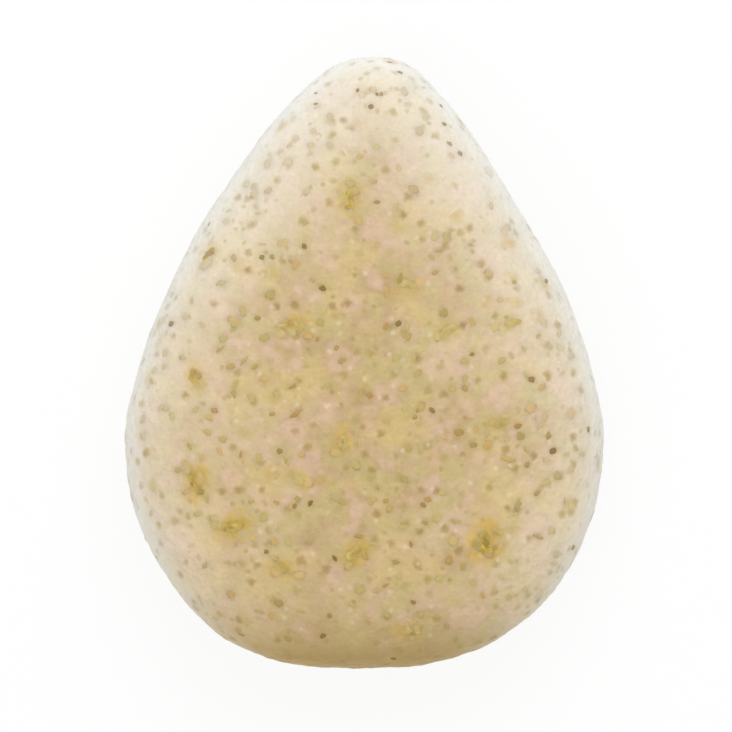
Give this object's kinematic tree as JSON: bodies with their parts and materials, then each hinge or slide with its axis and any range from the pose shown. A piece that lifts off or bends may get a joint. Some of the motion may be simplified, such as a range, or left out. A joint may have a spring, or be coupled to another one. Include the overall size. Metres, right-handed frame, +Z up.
{
  "type": "konjac sponge",
  "caption": "Drop-shaped konjac facial sponge with a flat back, a crowned front and dried petals, seeds, husk and bran cast into soft moist foam, for washing the face.",
  "frame": {"origin": "middle of the flat back that the sponge lies on, at the centre of its length and width", "axes": "+Z up through the thickness from the flat back to the crowned front, +Y along the length towards the tip, +X across the width"},
  "size_m": [0.0624, 0.08, 0.0251],
  "materials": {
    "konjac_foam": "matte",
    "petal": "matte",
    "seed": "satin",
    "husk": "matte",
    "bran": "matte"
  },
  "bodies": {
    "root": {"foam_body": "konjac_foam", "front_petal_01": "petal", "front_petal_02": "petal", "front_petal_03": "petal", "front_petal_04": "petal", "front_petal_05": "petal", "front_petal_06": "petal", "front_petal_07": "petal", "front_petal_08": "petal", "front_petal_09": "petal", "front_petal_10": "petal", "front_petal_11": "petal", "front_petal_12": "petal", "front_petal_13": "petal", "front_petal_14": "petal", "front_petal_15": "petal", "front_petal_16": "petal", "back_petal_01": "petal", "back_petal_02": "petal", "back_petal_03": "petal", "back_petal_04": "petal", "back_petal_05": "petal", "back_petal_06": "petal", "front_seeds": "seed", "rim_seeds": "seed", "back_seeds": "seed", "front_husk": "husk", "rim_husk": "husk", "back_husk": "husk", "front_bran": "bran", "rim_bran": "bran", "back_bran": "bran", "inner_bran": "bran"}
  },
  "joints": []
}
